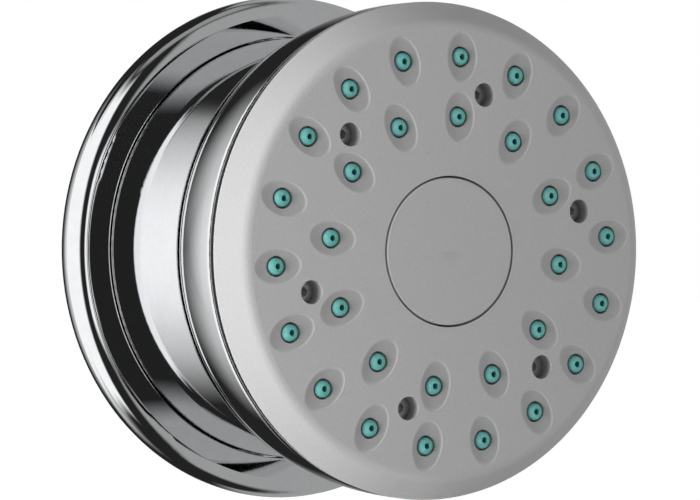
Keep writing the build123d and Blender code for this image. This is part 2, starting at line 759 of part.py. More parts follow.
# Spray face: satin dome with a bevelled rim, dimples, nozzle holes and screw pockets
face_boss_back = boss_front + seat_gap
with BuildPart(jet_plane) as spray_face:
    with BuildSketch(face_profile_plane):
        with BuildLine():
            CenterArc(
                dome_centre,
                dome_radius,
                dome_angle(shoulder_radius),
                dome_angle(well_radius) - dome_angle(shoulder_radius),
            )
            Polyline(
                (shoulder_radius, dome(shoulder_radius)),
                (head_radius, face_edge_distance),
                (head_radius - face_edge_round, face_back_distance),
                (skirt_radius, face_back_distance),
                (skirt_radius, face_back_distance + skirt_depth),
                (ceiling_radius, dome(ceiling_radius, face_wall)),
            )
            CenterArc(
                dome_centre,
                dome_radius - face_wall,
                dome_angle(ceiling_radius, face_wall),
                dome_angle(tube_radius, face_wall) - dome_angle(ceiling_radius, face_wall),
            )
            Polyline(
                (tube_radius, dome(tube_radius, face_wall)),
                (tube_radius, guide_front + seat_gap),
                (well_radius, guide_front + seat_gap),
                (well_radius, dome(well_radius)),
            )
        make_face()
    revolve(axis=Axis.Y)
    face_circles = spray_face.edges().filter_by(GeomType.CIRCLE)
    fillet(face_circles.sort_by(lambda rim: abs(rim.radius - shoulder_radius))[0], radius=shoulder_round)
    face_circles = spray_face.edges().filter_by(GeomType.CIRCLE)
    fillet(face_circles.sort_by(lambda rim: abs(rim.radius - head_radius))[0], radius=face_edge_round)
    with BuildSketch(front_plane(face_boss_back)):
        with PolarLocations(pocket_ring_radius, pocket_count, start_angle=pocket_angle):
            Circle(boss_radius)
    extrude(amount=dome(pocket_ring_radius, face_wall / 2) - face_boss_back)
    with BuildSketch(front_plane(projection)):
        with PolarLocations(outer_ring_radius, outer_ring_count, start_angle=pattern_angle):
            Circle(nozzle_hole_radius)
        with PolarLocations(inner_ring_radius, inner_ring_count, start_angle=inner_ring_angle):
            Circle(nozzle_hole_radius)
    extrude(amount=ring_top - projection, mode=Mode.SUBTRACT)
    with PolarLocations(0, outer_ring_count, start_angle=pattern_angle):
        add(outer_dimple.part, mode=Mode.SUBTRACT)
    with PolarLocations(0, inner_ring_count, start_angle=inner_ring_angle):
        add(inner_dimple.part, mode=Mode.SUBTRACT)
    with BuildSketch(front_plane(screw_head_back)):
        with PolarLocations(pocket_ring_radius, pocket_count, start_angle=pocket_angle):
            Circle(pocket_radius)
    extrude(amount=projection - screw_head_back, mode=Mode.SUBTRACT)
    with BuildSketch(front_plane(screw_head_back)):
        with PolarLocations(pocket_ring_radius, pocket_count, start_angle=pocket_angle):
            Circle(screw_radius + running_gap)
    extrude(amount=face_boss_back - cut_over - screw_head_back, mode=Mode.SUBTRACT)
spray_face.part.label = "spray_face"
export_step(spray_face.part, "parts/spray_face.step")

# Face screws: six small screws at the bottom of the pockets
with BuildPart() as face_screws:
    with BuildSketch(front_plane(screw_head_back + seat_gap)):
        with PolarLocations(pocket_ring_radius, pocket_count, start_angle=pocket_angle):
            Circle(screw_head_radius)
    extrude(amount=screw_head_height - seat_gap)
    with BuildSketch(front_plane(screw_head_back + seat_gap)):
        with PolarLocations(pocket_ring_radius, pocket_count, start_angle=pocket_angle):
            Circle(screw_radius)
    extrude(amount=screw_tip - screw_head_back)
    with BuildSketch(front_plane(screw_head_front)):
        with PolarLocations(pocket_ring_radius, pocket_count, start_angle=pocket_angle):
            RegularPolygon(screw_socket, 6)
    extrude(amount=-screw_socket_depth, mode=Mode.SUBTRACT)
face_screws.part.label = "face_screws"
export_step(face_screws.part, "parts/face_screws.step")

# One nozzle and its bore, drawn with the jet along +Z and the tip at the origin
with BuildPart() as nozzle_form:
    with BuildSketch(Plane.XZ):
        with BuildLine():
            Polyline(
                (0, -nozzle_length),
                (nozzle_root_radius, -nozzle_length),
                (nozzle_tip_radius, 0),
                (0, 0),
                close=True,
            )
        make_face()
    revolve(axis=Axis.Z)
    fillet(nozzle_form.edges().group_by(Axis.Z)[-1], radius=nozzle_tip_round)
with BuildPart() as nozzle_bore:
    with BuildSketch(Plane.XZ):
        with BuildLine():
            Polyline(
                (0, -nozzle_length - mat_thickness),
                (nozzle_feed_radius, -nozzle_length - mat_thickness),
                (nozzle_feed_radius, -nozzle_bore_length - nozzle_feed_taper),
                (nozzle_bore_radius, -nozzle_bore_length),
                (nozzle_bore_radius, cut_over),
                (0, cut_over),
                close=True,
            )
        make_face()
    revolve(axis=Axis.Z)

# Nozzle mat: one soft moulding behind the face, with all nozzles and a collar round the well
with BuildPart(jet_plane) as nozzle_mat:
    with BuildSketch(face_profile_plane):
        with BuildLine():
            CenterArc(
                dome_centre,
                dome_radius - mat_depth,
                dome_angle(mat_radius, mat_depth),
                dome_angle(mat_collar_radius, mat_depth) - dome_angle(mat_radius, mat_depth),
            )
            Line(
                (mat_radius, dome(mat_radius, mat_depth)),
                (mat_radius, dome(mat_radius, mat_back_depth)),
            )
            CenterArc(
                dome_centre,
                dome_radius - mat_back_depth,
                dome_angle(mat_radius, mat_back_depth),
                dome_angle(mat_collar_outer, mat_back_depth) - dome_angle(mat_radius, mat_back_depth),
            )
            Polyline(
                (mat_collar_outer, dome(mat_collar_outer, mat_back_depth)),
                (mat_collar_outer, guide_front + seat_gap),
                (mat_collar_radius, guide_front + seat_gap),
                (mat_collar_radius, dome(mat_collar_radius, mat_depth)),
            )
        make_face()
    revolve(axis=Axis.Y)
    with BuildSketch(front_plane(projection)):
        with PolarLocations(pocket_ring_radius, pocket_count, start_angle=pocket_angle):
            Circle(boss_radius + bore_gap)
    extrude(amount=plate_front - projection, mode=Mode.SUBTRACT)
    with Locations((0, 0, dome(outer_ring_radius))):
        with PolarLocations(outer_ring_radius, outer_ring_count, start_angle=pattern_angle):
            add(nozzle_form.part)
    with Locations((0, 0, dome(inner_ring_radius))):
        with PolarLocations(inner_ring_radius, inner_ring_count, start_angle=inner_ring_angle):
            add(nozzle_form.part)
    with Locations((0, 0, dome(outer_ring_radius))):
        with PolarLocations(outer_ring_radius, outer_ring_count, start_angle=pattern_angle):
            add(nozzle_bore.part, mode=Mode.SUBTRACT)
    with Locations((0, 0, dome(inner_ring_radius))):
        with PolarLocations(inner_ring_radius, inner_ring_count, start_angle=inner_ring_angle):
            add(nozzle_bore.part, mode=Mode.SUBTRACT)
nozzle_mat.part.label = "nozzle_mat"
export_step(nozzle_mat.part, "parts/nozzle_mat.step")

# Valve guide: floor of the dry well under the button, with a tower for the stem
guide_rim_radius = well_radius - bore_gap
guide_rim_bore = guide_rim_radius - guide_rim_wall
guide_rim_front = button_underside - button_skirt - button_travel - guide_rim_clear
guide_ring_middle = (guide_front + guide_rim_front) / 2
guide_ring_radius = well_radius - running_gap - guide_ring_section
guide_groove_depth = running_gap + 2 * guide_ring_section + seat_gap
guide_groove_width = 2 * guide_ring_section + bore_gap
tower_radius = stem_radius + tower_wall
tower_front = button_underside - button_travel - tower_clear
cam_inner = guide_rim_bore - cam_clear - cam_wall
latch_radius = cam_inner - latch_offset
latch_foot = guide_front - latch_root
with BuildPart() as valve_guide:
    with BuildSketch(profile_plane):
        with BuildLine():
            Polyline(
                (stem_radius + running_gap, guide_back),
                (guide_radius, guide_back),
                (guide_radius, guide_front),
                (guide_rim_radius, guide_front),
                (guide_rim_radius, guide_rim_front),
                (guide_rim_bore, guide_rim_front),
                (guide_rim_bore, guide_front),
                (tower_radius, guide_front),
                (tower_radius, tower_front),
                (stem_radius + running_gap, tower_front),
                close=True,
            )
        make_face()
        with Locations((well_radius, guide_ring_middle)):
            Rectangle(2 * guide_groove_depth, guide_groove_width, mode=Mode.SUBTRACT)
    revolve(axis=Axis.Y)
    with BuildSketch(front_plane(guide_front)):
        with Locations((latch_radius, 0)):
            Circle(latch_wire + seat_gap)
    extrude(amount=-latch_root - seat_gap, mode=Mode.SUBTRACT)
valve_guide.part.label = "valve_guide"
export_step(valve_guide.part, "parts/valve_guide.step")

# Guide ring: seal between the guide's rim and the well of the face
with BuildPart() as guide_ring:
    with BuildSketch(profile_plane):
        with Locations((guide_ring_radius, guide_ring_middle)):
            Circle(guide_ring_section)
    revolve(axis=Axis.Y)
guide_ring.part.label = "guide_ring"
export_step(guide_ring.part, "parts/guide_ring.step")

# Latch pin: bent wire that catches the button's cam at the end of its travel
latch_tip_distance = button_underside - button_travel - latch_clear - latch_wire
latch_tip_radius = cam_inner + latch_catch
with BuildPart() as latch_pin:
    with BuildLine(profile_plane) as latch_path:
        FilletPolyline(
            (latch_radius, latch_foot),
            (latch_radius, latch_tip_distance),
            (latch_tip_radius, latch_tip_distance),
            radius=latch_bend,
        )
    with BuildSketch(front_plane(latch_foot)):
        with Locations((latch_radius, 0)):
            Circle(latch_wire)
    sweep(path=latch_path.line)
latch_pin.part.label = "latch_pin"
export_step(latch_pin.part, "parts/latch_pin.step")

# Return spring: coil round the tower that pushes the button out
spring_radius = latch_radius - spring_inset
spring_back = guide_front + spring_wire + seat_gap
spring_height = button_underside - guide_front - 2 * spring_wire - 2 * seat_gap
with BuildPart() as return_spring:
    with BuildLine() as coil:
        Helix(
            pitch=spring_height / spring_turns,
            height=spring_height,
            radius=spring_radius,
            center=(0, -spring_back, 0),
            direction=(0, -1, 0),
        )
    with BuildSketch(Plane(origin=coil.line @ 0, z_dir=coil.line % 0)):
        Circle(spring_wire)
    sweep(path=coil.line, is_frenet=True)
return_spring.part.label = "return_spring"
export_step(return_spring.part, "parts/return_spring.step")

# Stop button: flush disc in the middle of the face, with a skirt and the latch cam
stem_top = button_underside + stem_neck_length
cam_back = latch_tip_distance + latch_wire + bore_gap
cam_top = button_underside + button_thickness / 4
slot_inner = cam_inner - 2 * bore_gap
slot_top = latch_tip_distance + button_travel + latch_wire + slot_clear
button_flat_radius = button_radius - button_edge_round
button_rim_angle = dome_angle(button_flat_radius)
button_edge_middle = dome(button_flat_radius) - button_edge_round
button_round_step = button_edge_round * cos(radians(45))
with BuildPart() as stop_button:
    with BuildSketch(profile_plane):
        with BuildLine():
            CenterArc(dome_centre, dome_radius, button_rim_angle, 90 - button_rim_angle)
            ThreePointArc(
                (button_flat_radius, dome(button_flat_radius)),
                (button_flat_radius + button_round_step, button_edge_middle + button_round_step),
                (button_radius, button_edge_middle),
            )
            Polyline(
                (button_radius, button_edge_middle),
                (button_radius, button_underside - button_skirt),
                (button_radius - button_skirt_wall, button_underside - button_skirt),
                (button_radius - button_skirt_wall, button_underside),
                (stem_neck + seat_gap, button_underside),
                (stem_neck + seat_gap, stem_top + seat_gap),
                (0, stem_top + seat_gap),
                (0, projection),
            )
        make_face()
    revolve(axis=Axis.Y)
    with BuildSketch(front_plane(cam_back)):
        with Locations((cam_inner, 0)):
            Rectangle(cam_wall, 2 * cam_half_width, align=(Align.MIN, Align.CENTER))
    extrude(amount=cam_top - cam_back)
    with BuildSketch(front_plane(cam_back)):
        with Locations((slot_inner, 0)):
            Rectangle(slot_length, 2 * (latch_wire + slot_clear), align=(Align.MIN, Align.CENTER))
    extrude(amount=slot_top - cam_back, mode=Mode.SUBTRACT)
stop_button.part.label = "stop_button"
export_step(stop_button.part, "parts/stop_button.step")

# Valve stem: carries the washer and passes through the guide to the button
valve_lift = button_travel + running_gap
washer_back = seat_distance + valve_lift
stem_back = washer_back + washer_thickness
holder_radius = seat_crown + holder_margin
stem_ring_middle = tower_front - stem_ring_land
stem_ring_radius = stem_radius - seat_gap - stem_ring_section
stem_groove_depth = 2 * (stem_ring_section + seat_gap)
stem_groove_width = 2 * stem_ring_section + bore_gap
with BuildPart() as valve_stem:
    with BuildSketch(profile_plane):
        with BuildLine():
            Polyline(
                (0, stem_back),
                (holder_radius, stem_back),
                (holder_radius, stem_back + holder_thickness),
                (stem_radius, stem_back + holder_thickness),
                (stem_radius, button_underside - seat_gap),
                (stem_neck, button_underside - seat_gap),
                (stem_neck, stem_top),
                (0, stem_top),
                close=True,
            )
        make_face()
        with Locations((stem_radius, stem_ring_middle)):
            Rectangle(2 * stem_groove_depth, stem_groove_width, mode=Mode.SUBTRACT)
    revolve(axis=Axis.Y)
    with BuildSketch(front_plane(stem_back)):
        Circle(washer_screw_radius + seat_gap)
    extrude(amount=washer_screw_depth + bore_gap, mode=Mode.SUBTRACT)
valve_stem.part.label = "valve_stem"
export_step(valve_stem.part, "parts/valve_stem.step")

# Stem ring: seal between the stem and the guide
with BuildPart() as stem_ring:
    with BuildSketch(profile_plane):
        with Locations((stem_ring_radius, stem_ring_middle)):
            Circle(stem_ring_section)
    revolve(axis=Axis.Y)
stem_ring.part.label = "stem_ring"
export_step(stem_ring.part, "parts/stem_ring.step")

# Valve washer: soft disc that closes on the seat
with BuildPart() as valve_washer:
    with BuildSketch(front_plane(washer_back)):
        Circle(holder_radius - 2 * bore_gap)
        Circle(washer_screw_radius + bore_gap, mode=Mode.SUBTRACT)
    extrude(amount=washer_thickness - seat_gap)
valve_washer.part.label = "valve_washer"
export_step(valve_washer.part, "parts/valve_washer.step")

# Washer screw: holds the washer on the stem
with BuildPart() as washer_screw:
    with BuildSketch(front_plane(washer_back - seat_gap)):
        Circle(washer_screw_head)
    extrude(amount=-washer_screw_head_height)
    with BuildSketch(front_plane(washer_back - seat_gap)):
        Circle(washer_screw_radius)
    extrude(amount=washer_thickness + washer_screw_depth)
washer_screw.part.label = "washer_screw"
export_step(washer_screw.part, "parts/washer_screw.step")
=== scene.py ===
"""Looks of the wall body jet: its finishes, the pieces that the solids leave plain, and the studio."""

from __future__ import annotations

import json
import logging
import math
from dataclasses import dataclass, field
from enum import Enum
from typing import Any, Callable

import bmesh
import bpy
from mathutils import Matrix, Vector

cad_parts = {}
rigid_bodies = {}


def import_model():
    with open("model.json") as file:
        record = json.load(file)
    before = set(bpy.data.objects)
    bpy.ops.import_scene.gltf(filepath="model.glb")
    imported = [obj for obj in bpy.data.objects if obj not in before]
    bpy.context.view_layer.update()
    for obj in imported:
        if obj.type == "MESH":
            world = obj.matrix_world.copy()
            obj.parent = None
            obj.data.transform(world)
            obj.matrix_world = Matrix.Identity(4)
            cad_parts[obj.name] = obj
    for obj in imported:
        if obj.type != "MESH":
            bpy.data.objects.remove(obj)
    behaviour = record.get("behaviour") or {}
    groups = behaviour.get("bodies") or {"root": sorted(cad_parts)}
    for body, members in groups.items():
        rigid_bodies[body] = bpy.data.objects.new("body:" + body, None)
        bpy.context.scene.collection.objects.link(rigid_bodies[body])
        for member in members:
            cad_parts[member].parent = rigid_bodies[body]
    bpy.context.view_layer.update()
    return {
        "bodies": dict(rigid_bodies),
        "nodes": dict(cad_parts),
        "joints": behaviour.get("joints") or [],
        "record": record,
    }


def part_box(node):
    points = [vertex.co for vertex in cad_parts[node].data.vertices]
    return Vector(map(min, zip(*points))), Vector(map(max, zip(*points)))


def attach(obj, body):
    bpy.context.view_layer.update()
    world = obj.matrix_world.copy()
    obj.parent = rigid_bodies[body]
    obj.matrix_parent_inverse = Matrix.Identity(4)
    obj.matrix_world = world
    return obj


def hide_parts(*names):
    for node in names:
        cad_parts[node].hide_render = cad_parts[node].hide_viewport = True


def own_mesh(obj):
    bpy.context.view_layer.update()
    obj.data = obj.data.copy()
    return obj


log = logging.getLogger("body_jet")

Colour = tuple[float, float, float]
Point = tuple[float, float, float]
Tree = bpy.types.NodeTree
Socket = bpy.types.NodeSocket
MM = 0.001
DOME_RADIUS = 306.0 * MM
DOME_CENTRE = (0.0, DOME_RADIUS - 54.4 * MM, 0.0)
DIMPLED_RADIUS = 35.9 * MM
LIP_WIDTH = 0.3 * MM
LIP_DEPTH = 0.05 * MM
SUNK_DEPTH = 0.2 * MM


class Body(Enum):
    """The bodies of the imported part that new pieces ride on."""

    WALL_FITTING = "wall_fitting"
    SPRAY_HEAD = "spray_head"


class Slot(Enum):
    """The record's material slots."""

    CHROME = "chrome"
    SATIN_GREY = "satin_grey"
    NOZZLE_SILICONE = "nozzle_silicone"
    DARK_PLASTIC = "dark_plastic"
    PALE_PLASTIC = "pale_plastic"
    BRASS = "brass"
    STEEL = "steel"
    BLACK_RUBBER = "black_rubber"
    GASKET_FOAM = "gasket_foam"


class Pattern(Enum):
    """How a finish's fine marks run over the surface."""

    GRAIN = "fine_grain"
    TURNED = "turned_rings"


def place(tree: Tree, kind: str, at: tuple[float, float] = (0.0, 0.0), **settings: Any) -> bpy.types.Node:
    """Adds a node to a tree.

    Args:
        tree: The node tree of a material, world or group.
        kind: The node's type name.
        at: Where the node lies in the editor.
        **settings: Properties to set on the node.

    Returns:
        The new node.
    """
    node = tree.nodes.new(kind)
    node.location = at
    for name, value in settings.items():
        setattr(node, name, value)
    return node


def math_node(tree: Tree, operation: str, first: Any, second: Any = None) -> Socket:
    """Adds a Math node fed by sockets or numbers.

    Args:
        tree: The node tree.
        operation: The Math operation.
        first: A socket or a number.
        second: A socket, a number, or None where the operation takes one value.

    Returns:
        The node's output socket.
    """
    node = place(tree, "ShaderNodeMath", operation=operation)
    for index, value in enumerate((first, second)):
        if isinstance(value, Socket):
            tree.links.new(value, node.inputs[index])
        elif value is not None:
            node.inputs[index].default_value = value
    return node.outputs[0]


def ramp_between(tree: Tree, value: Socket, low: float, high: float,
                 to_low: float, to_high: float) -> Socket:
    """Maps a value smoothly from one range to another.

    Args:
        tree: The node tree.
        value: The socket to map.
        low: The value that gives to_low.
        high: The value that gives to_high.
        to_low: Result at low and below.
        to_high: Result at high and above.

    Returns:
        The mapped value's socket.
    """
    node = place(tree, "ShaderNodeMapRange", interpolation_type="SMOOTHSTEP")
    tree.links.new(value, node.inputs["Value"])
    for name, number in (("From Min", low), ("From Max", high), ("To Min", to_low), ("To Max", to_high)):
        node.inputs[name].default_value = number
    return node.outputs["Result"]


def mix_colour(tree: Tree, factor: Socket, low: Colour, high: Colour) -> Socket:
    """Mixes two colours by a mask.

    Args:
        tree: The node tree.
        factor: The mask's socket.
        low: The colour where the mask is 0.
        high: The colour where the mask is 1.

    Returns:
        The mixed colour's socket.
    """
    node = place(tree, "ShaderNodeMix", data_type="RGBA")
    tree.links.new(factor, node.inputs["Factor"])
    node.inputs["A"].default_value = (*low, 1.0)
    node.inputs["B"].default_value = (*high, 1.0)
    return node.outputs["Result"]


class ShaderGroups:
    """The node groups that several finishes share, each built once."""

    def __init__(self) -> None:
        """Starts with no group built."""
        self._built: dict[str, Tree] = {}

    def _start(self, name: str, inputs: dict[str, float], outputs: tuple[str, ...]) -> tuple[Any, Any, Any]:
        """Makes an empty group with its sockets.

        Args:
            name: The group's name.
            inputs: Float inputs and their default values.
            outputs: Float outputs.

        Returns:
            The tree, its input node and its output node.
        """
        tree = bpy.data.node_groups.new(name, "ShaderNodeTree")
        for socket, value in inputs.items():
            made = tree.interface.new_socket(socket, in_out="INPUT", socket_type="NodeSocketFloat")
            made.default_value = value
        for socket in outputs:
            tree.interface.new_socket(socket, in_out="OUTPUT", socket_type="NodeSocketFloat")
        self._built[name] = tree
        return tree, place(tree, "NodeGroupInput"), place(tree, "NodeGroupOutput")

    def fine_grain(self) -> Tree:
        """Fine blasted or moulded grain: an even speckle and its height.

        Returns:
            The group.
        """
        if "fine_grain" not in self._built:
            tree, inside, out = self._start("fine_grain", {"Scale": 3000.0}, ("Mask", "Height"))
            where = place(tree, "ShaderNodeTexCoord").outputs["Object"]
            coarse = place(tree, "ShaderNodeTexNoise")
            coarse.inputs["Detail"].default_value = 3.0
            coarse.inputs["Roughness"].default_value = 0.65
            fine = place(tree, "ShaderNodeTexNoise")
            fine.inputs["Detail"].default_value = 1.0
            tree.links.new(where, coarse.inputs["Vector"])
            tree.links.new(where, fine.inputs["Vector"])
            tree.links.new(inside.outputs["Scale"], coarse.inputs["Scale"])
            fineness, coarse_share, fine_share = 2.7, 0.65, 0.35
            tree.links.new(math_node(tree, "MULTIPLY", inside.outputs["Scale"], fineness),
                           fine.inputs["Scale"])
            both = math_node(tree, "ADD", math_node(tree, "MULTIPLY", coarse.outputs[0], coarse_share),
                             math_node(tree, "MULTIPLY", fine.outputs[0], fine_share))
            tree.links.new(ramp_between(tree, both, 0.36, 0.64, 0.0, 1.0), out.inputs["Mask"])
            tree.links.new(both, out.inputs["Height"])
        return self._built["fine_grain"]

    def turned_rings(self) -> Tree:
        """Tool marks of a part turned about the jet's axis, along its length and across its ends.

        Returns:
            The group.
        """
        if "turned_rings" not in self._built:
            tree, inside, out = self._start("turned_rings", {"Scale": 3000.0}, ("Mask", "Height"))
            where = place(tree, "ShaderNodeTexCoord").outputs["Object"]
            parts = place(tree, "ShaderNodeSeparateXYZ")
            tree.links.new(where, parts.inputs[0])
            across = math_node(tree, "SQRT", math_node(
                tree, "ADD", math_node(tree, "POWER", parts.outputs[0], 2.0),
                math_node(tree, "POWER", parts.outputs[2], 2.0)))
            along = math_node(tree, "ADD", across, parts.outputs[1])
            line = place(tree, "ShaderNodeCombineXYZ")
            tree.links.new(along, line.inputs[0])
            marks = place(tree, "ShaderNodeTexNoise")
            marks.inputs["Detail"].default_value = 4.0
            tree.links.new(line.outputs[0], marks.inputs["Vector"])
            tree.links.new(inside.outputs["Scale"], marks.inputs["Scale"])
            tree.links.new(ramp_between(tree, marks.outputs[0], 0.3, 0.7, 0.0, 1.0), out.inputs["Mask"])
            tree.links.new(marks.outputs[0], out.inputs["Height"])
        return self._built["turned_rings"]

    def handling_marks(self) -> Tree:
        """Broad, soft clouds left by wiping and handling.

        Returns:
            The group.
        """
        if "handling_marks" not in self._built:
            tree, inside, out = self._start("handling_marks", {"Scale": 60.0, "Sharpness": 0.5}, ("Mask",))
            where = place(tree, "ShaderNodeTexCoord").outputs["Object"]
            cloud = place(tree, "ShaderNodeTexNoise")
            cloud.inputs["Detail"].default_value = 5.0
            cloud.inputs["Distortion"].default_value = 0.6
            tree.links.new(where, cloud.inputs["Vector"])
            tree.links.new(inside.outputs["Scale"], cloud.inputs["Scale"])
            edge = place(tree, "ShaderNodeMapRange", interpolation_type="SMOOTHSTEP")
            half = math_node(tree, "MULTIPLY", inside.outputs["Sharpness"], 0.45)
            tree.links.new(cloud.outputs[0], edge.inputs["Value"])
            tree.links.new(half, edge.inputs["From Min"])
            tree.links.new(math_node(tree, "SUBTRACT", 1.0, half), edge.inputs["From Max"])
            tree.links.new(edge.outputs["Result"], out.inputs["Mask"])
        return self._built["handling_marks"]

    def softbox(self) -> Tree:
        """A soft-edged panel of the studio, by its direction from the object.

        Returns:
            The group.
        """
        if "softbox" not in self._built:
            sizes = {"Turn": 0.0, "Half Width": 0.5, "Rise": 0.0, "Half Height": 0.5, "Feather": 0.1}
            tree, inside, out = self._start("softbox", sizes, ("Mask",))
            where = place(tree, "ShaderNodeTexCoord").outputs["Generated"]
            turned = place(tree, "ShaderNodeVectorRotate", rotation_type="Z_AXIS")
            tree.links.new(where, turned.inputs["Vector"])
            tree.links.new(inside.outputs["Turn"], turned.inputs["Angle"])
            parts = place(tree, "ShaderNodeSeparateXYZ")
            tree.links.new(turned.outputs[0], parts.inputs[0])
            aside = math_node(tree, "ABSOLUTE", math_node(
                tree, "ARCTAN2", parts.outputs[1], math_node(tree, "MULTIPLY", parts.outputs[0], -1.0)))
            above = math_node(tree, "ABSOLUTE", math_node(
                tree, "SUBTRACT", math_node(tree, "ARCSINE", parts.outputs[2]), inside.outputs["Rise"]))
            masks = []
            for distance, half in ((aside, "Half Width"), (above, "Half Height")):
                edge = place(tree, "ShaderNodeMapRange", interpolation_type="SMOOTHSTEP")
                tree.links.new(distance, edge.inputs["Value"])
                tree.links.new(math_node(tree, "ADD", inside.outputs[half], inside.outputs["Feather"]),
                               edge.inputs["From Min"])
                tree.links.new(math_node(tree, "SUBTRACT", inside.outputs[half], inside.outputs["Feather"]),
                               edge.inputs["From Max"])
                masks.append(edge.outputs["Result"])
            tree.links.new(math_node(tree, "MULTIPLY", *masks), out.inputs["Mask"])
        return self._built["softbox"]

    def use(self, tree: Tree, group: Tree, **values: float) -> bpy.types.Node:
        """Places a group in a tree with its own values.

        Args:
            tree: The tree of a material or world.
            group: The group to place.
            **values: Input values, spaces written as underscores.

        Returns:
            The group node.
        """
        node = place(tree, "ShaderNodeGroup", node_tree=group)
        for name, value in values.items():
            node.inputs[name.replace("_", " ")].default_value = value
        return node


@dataclass(frozen=True)
class Finish:
    """A surface finish: two tones, two roughnesses and the fine marks that carry them.

    Attributes:
        slot: The record's slot that it dresses.
        tone_low: Base colour in the marks' hollows.
        tone_high: Base colour on their tops.
        rough_low: Roughness where the surface is cleanest.
        rough_high: Roughness where it is most handled.
        metallic: The shader's metallic value.
        pattern: How the fine marks run.
        mark_scale: Fine marks per metre.
        mark_depth: Depth of the fine marks in metres.
        cloud_scale: Handling clouds per metre.
        specular: The shader's specular level.
        edge_round: Radius in metres to which its shading rounds sharp edges, 0 for none.
        painted_hollow_shade: Painted shade in the dimples of the face, the share of the tone taken out
            there, 0 for none.
        hollow_soft: Share of the dimples' slope that the shading evens out.
    """

    slot: Slot
    tone_low: Colour
    tone_high: Colour
    rough_low: float
    rough_high: float
    metallic: float = 0.0
    pattern: Pattern = Pattern.GRAIN
    mark_scale: float = 3000.0
    mark_depth: float = 0.0
    cloud_scale: float = 60.0
    specular: float = 0.5
    edge_round: float = 0.0
    painted_hollow_shade: float = 0.0
    hollow_soft: float = 0.0

    def hollow_mask(self, tree: Tree) -> Socket:
        """Finds the dimples, where the surface lies below the dome of the face.

        Args:
            tree: The material's tree.

        Returns:
            The socket that goes from 0 at a dimple's lip to 1 on its floor.
        """
        where = place(tree, "ShaderNodeTexCoord").outputs["Object"]
        reach = place(tree, "ShaderNodeVectorMath", operation="DISTANCE")
        tree.links.new(where, reach.inputs[0])
        reach.inputs[1].default_value = DOME_CENTRE
        depth = math_node(tree, "SUBTRACT", DOME_RADIUS, reach.outputs["Value"])
        flat = place(tree, "ShaderNodeVectorMath", operation="MULTIPLY")
        tree.links.new(where, flat.inputs[0])
        flat.inputs[1].default_value = (1.0, 0.0, 1.0)
        out = place(tree, "ShaderNodeVectorMath", operation="LENGTH")
        tree.links.new(flat.outputs[0], out.inputs[0])
        inside = ramp_between(tree, out.outputs["Value"], DIMPLED_RADIUS, DIMPLED_RADIUS + LIP_WIDTH,
                              1.0, 0.0)
        sunk = ramp_between(tree, depth, LIP_DEPTH, SUNK_DEPTH, 0.0, 1.0)
        return math_node(tree, "MULTIPLY", inside, sunk)

    def soften_hollows(self, tree: Tree, mask: Socket,
                       normal: Socket) -> Socket:
        """Turns the normals in the dimples part of the way towards the dome's.

        Args:
            tree: The material's tree.
            mask: The dimples.
            normal: The surface's normal.

        Returns:
            The softened normal's socket.
        """
        away = place(tree, "ShaderNodeVectorMath", operation="SUBTRACT")
        tree.links.new(place(tree, "ShaderNodeTexCoord").outputs["Object"], away.inputs[0])
        away.inputs[1].default_value = DOME_CENTRE
        domed = place(tree, "ShaderNodeVectorTransform", vector_type="NORMAL", convert_from="OBJECT",
                      convert_to="WORLD")
        tree.links.new(away.outputs[0], domed.inputs[0])
        unit = place(tree, "ShaderNodeVectorMath", operation="NORMALIZE")
        tree.links.new(domed.outputs[0], unit.inputs[0])
        blend = place(tree, "ShaderNodeMix", data_type="VECTOR")
        tree.links.new(math_node(tree, "MULTIPLY", mask, self.hollow_soft), blend.inputs["Factor"])
        tree.links.new(normal, blend.inputs[4])
        tree.links.new(unit.outputs[0], blend.inputs[5])
        even = place(tree, "ShaderNodeVectorMath", operation="NORMALIZE")
        tree.links.new(blend.outputs[1], even.inputs[0])
        return even.outputs[0]

    def build(self, groups: ShaderGroups) -> bpy.types.Material:
        """Makes the material.

        Args:
            groups: The shared node groups.

        Returns:
            The material, named for its slot.
        """
        material = bpy.data.materials.new(f"{self.slot.value}_finish")
        material.use_nodes = True
        tree = material.node_tree
        tree.nodes.clear()
        out = place(tree, "ShaderNodeOutputMaterial", (600, 0))
        shader = place(tree, "ShaderNodeBsdfPrincipled", (300, 0))
        tree.links.new(shader.outputs[0], out.inputs["Surface"])
        shader.inputs["Metallic"].default_value = self.metallic
        shader.inputs["Specular IOR Level"].default_value = self.specular
        marks = groups.use(tree, getattr(groups, self.pattern.value)(), Scale=self.mark_scale)
        clouds = groups.use(tree, groups.handling_marks(), Scale=self.cloud_scale, Sharpness=0.5)
        tone = mix_colour(tree, marks.outputs["Mask"], self.tone_low, self.tone_high)
        hollows = self.hollow_mask(tree) if self.painted_hollow_shade else None
        if hollows:
            # Painted shade: the base colour goes darker on the dimples' floors, where shade falls
            dim = place(tree, "ShaderNodeMix", data_type="RGBA")
            tree.links.new(math_node(tree, "MULTIPLY", hollows, self.painted_hollow_shade), dim.inputs["Factor"])
            tree.links.new(tone, dim.inputs["A"])
            dim.inputs["B"].default_value = (0.0, 0.0, 0.0, 1.0)
            tone = dim.outputs["Result"]
        tree.links.new(tone, shader.inputs["Base Color"])
        tree.links.new(ramp_between(tree, clouds.outputs["Mask"], 0.0, 1.0, self.rough_low, self.rough_high),
                       shader.inputs["Roughness"])
        normal = None
        if self.edge_round:
            rounding = place(tree, "ShaderNodeBevel", samples=6)
            rounding.inputs["Radius"].default_value = self.edge_round
            normal = rounding.outputs[0]
            if hollows:
                normal = self.soften_hollows(tree, hollows, normal)
        if self.mark_depth:
            bump = place(tree, "ShaderNodeBump")
            bump.inputs["Distance"].default_value = self.mark_depth
            tree.links.new(marks.outputs["Height"], bump.inputs["Height"])
            if normal:
                tree.links.new(normal, bump.inputs["Normal"])
            normal = bump.outputs[0]
        if normal:
            tree.links.new(normal, shader.inputs["Normal"])
        return material


